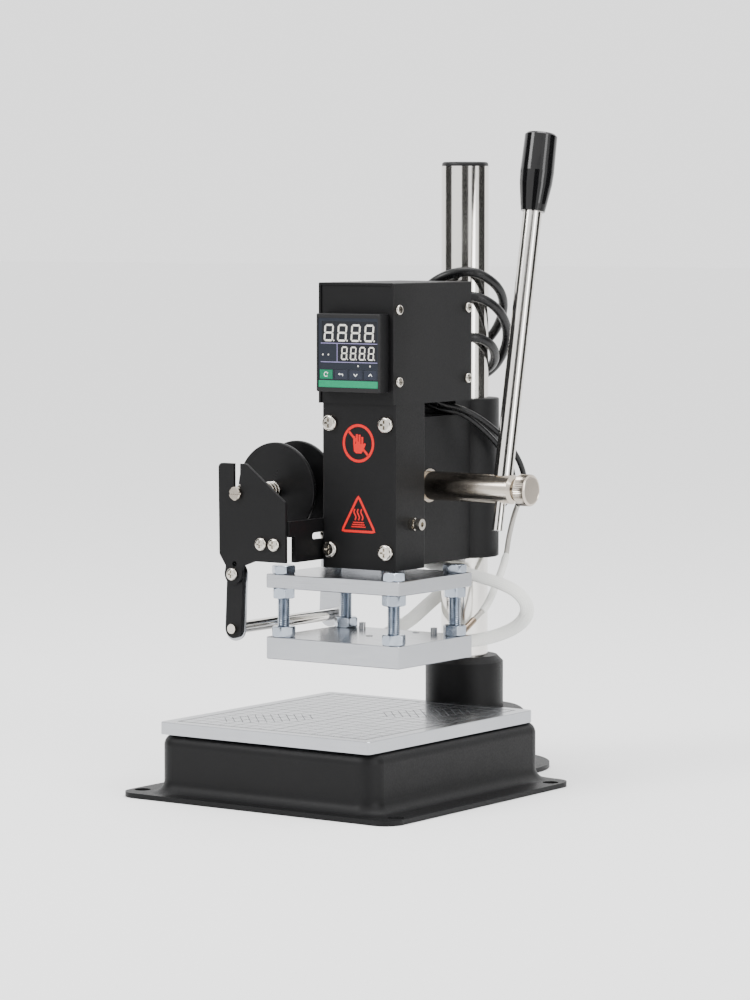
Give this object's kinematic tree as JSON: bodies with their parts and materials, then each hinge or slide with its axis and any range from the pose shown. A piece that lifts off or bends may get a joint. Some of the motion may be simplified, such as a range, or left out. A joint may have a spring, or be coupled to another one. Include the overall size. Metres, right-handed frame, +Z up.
{
  "type": "hot foil stamper",
  "caption": "Bench-top hot foil stamper: base and column, height-adjustable head, rack-driven heated ram with hand lever, panel temperature controller, foil holder and mains lead.",
  "frame": {"origin": "centre of the base's four-bolt pattern, on the underside of the base flange", "axes": "+Z up along the column, -Y towards the operator (front), +X towards the hand lever's side"},
  "size_m": [0.2432, 0.3621, 0.406],
  "materials": {
    "black_paint": "fine-texture satin black powder coat",
    "chrome": "polished hard chrome",
    "satin_nickel": "turned steel, satin nickel plated",
    "aluminium": "milled and satin anodised, bright chamfers",
    "zinc_steel": "blue-white zinc plated",
    "nickel_screws": "bright nickel plated",
    "black_steel": "black oxide",
    "machined_steel": "machined bare steel",
    "spring_steel": "drawn nickel-plated wire",
    "bronze": "oil-filled sintered bronze",
    "black_plastic": "moulded, fine eroded texture",
    "gloss_black": "compression moulded, polished",
    "membrane": "printed polyester membrane",
    "cord_jacket": "extruded PVC jacket, semi-matt",
    "steel_braid": "braided stainless wire",
    "white_sleeve": "woven glass-fibre sleeve"
  },
  "bodies": {
    "frame": {"base_casting": "black_paint", "column_collar": "black_paint", "collar_screws": "black_steel", "column_tube": "chrome", "column_cap": "black_plastic", "work_plate": "aluminium", "work_plate_screws": "nickel_screws", "mains_coil": "cord_jacket", "mains_plug": "cord_jacket"},
    "head": {"carriage": "black_paint", "height_clamp_screws": "black_steel", "guide_housing": "black_paint", "guide_cover": "black_paint", "guide_cover_screws": "nickel_screws", "gib_screw": "black_steel", "pinion_bushes": "bronze", "box_cover": "black_paint", "box_chassis": "black_paint", "small_pan_screws": "nickel_screws", "controller_case": "black_plastic", "controller_face": "membrane", "switch_body": "black_plastic", "mains_gland": "black_plastic", "mains_cord": "cord_jacket", "sensor_lead": "cord_jacket", "heater_lead": "cord_jacket", "foil_bracket": "black_paint", "foil_plates": "black_paint"},
    "ram": {"ram": "aluminium", "return_spring": "spring_steel", "rack": "machined_steel", "ram_screws": "black_steel", "upper_plate": "aluminium", "plate_bolts": "zinc_steel", "plate_nuts": "zinc_steel", "heated_plate": "aluminium", "cartridge_heaters": "machined_steel", "plate_set_screws": "black_steel", "sensor_probe": "satin_nickel", "sensor_braid": "steel_braid", "heater_sleeve_right": "white_sleeve", "heater_sleeve_left": "white_sleeve"},
    "lever": {"pinion_shaft": "satin_nickel", "pinion_gear": "machined_steel", "shaft_circlip": "black_steel", "lever_rod": "chrome", "lever_grip": "gloss_black"},
    "lever_knob": {"lever_knob": "satin_nickel"},
    "foil_axle": {"foil_axle": "satin_nickel", "axle_spring": "spring_steel"},
    "foil_discs": {"foil_discs": "aluminium"},
    "guide_arm": {"guide_arms": "black_paint", "arm_backings": "aluminium", "arm_screws": "nickel_screws"},
    "foil_roller": {"foil_roller": "chrome"},
    "key_mode": {"key_mode": "membrane"},
    "key_shift": {"key_shift": "membrane"},
    "key_down": {"key_down": "membrane"},
    "key_up": {"key_up": "membrane"},
    "switch_rocker": {"switch_rocker": "black_plastic"}
  },
  "joints": [
    {"name": "head_height", "type": "slide", "parent": "frame", "child": "head", "axis": [0, 0, 1], "range_m": [-0.006, 0.06], "deforming": ["mains_cord"]},
    {"name": "ram_press", "type": "slide", "parent": "head", "child": "ram", "axis": [0, 0, -1], "range_m": [0, 0.025], "stiffness_N_per_m": 900, "springref_m": -0.03, "deforming": ["return_spring", "heater_sleeve_right", "heater_sleeve_left", "sensor_braid"]},
    {"name": "lever_pull", "type": "hinge", "parent": "head", "child": "lever", "pos_m": [0.06975, 0.066, 0.1855], "axis": [1, 0, 0], "range_deg": [0, 119]},
    {"name": "knob_turn", "type": "hinge", "parent": "lever", "child": "lever_knob", "pos_m": [0.0874, 0.066, 0.1855], "axis": [1, 0, 0], "range_deg": [0, 360]},
    {"name": "foil_axle_lift", "type": "slide", "parent": "head", "child": "foil_axle", "axis": [0, 0, 1], "range_m": [0, 0.03]},
    {"name": "foil_spin", "type": "hinge", "parent": "foil_axle", "child": "foil_discs", "pos_m": [-0.0662, 0.0275, 0.1825], "axis": [0, 1, 0], "continuous": true},
    {"name": "guide_arm_swing", "type": "hinge", "parent": "head", "child": "guide_arm", "pos_m": [-0.0695, 0.0295, 0.1323], "axis": [0, 1, 0], "range_deg": [-18, 60]},
    {"name": "roller_spin", "type": "hinge", "parent": "guide_arm", "child": "foil_roller", "pos_m": [-0.071, 0.0295, 0.098], "axis": [0, 1, 0], "continuous": true},
    {"name": "key_mode_press", "type": "slide", "parent": "head", "child": "key_mode", "axis": [0, 1, 0], "range_m": [0, 0.0006], "stiffness_N_per_m": 400, "springref_m": -0.0003},
    {"name": "key_shift_press", "type": "slide", "parent": "head", "child": "key_shift", "axis": [0, 1, 0], "range_m": [0, 0.0006], "stiffness_N_per_m": 400, "springref_m": -0.0003},
    {"name": "key_down_press", "type": "slide", "parent": "head", "child": "key_down", "axis": [0, 1, 0], "range_m": [0, 0.0006], "stiffness_N_per_m": 400, "springref_m": -0.0003},
    {"name": "key_up_press", "type": "slide", "parent": "head", "child": "key_up", "axis": [0, 1, 0], "range_m": [0, 0.0006], "stiffness_N_per_m": 400, "springref_m": -0.0003},
    {"name": "switch_rock", "type": "hinge", "parent": "head", "child": "switch_rocker", "pos_m": [-0.0281, 0.073, 0.276], "axis": [0, 0, 1], "range_deg": [0, 19]}
  ],
  "couplings": [
    {"joint": "ram_press", "follows": "lever_pull", "m_per_rad": 0.012}
  ]
}
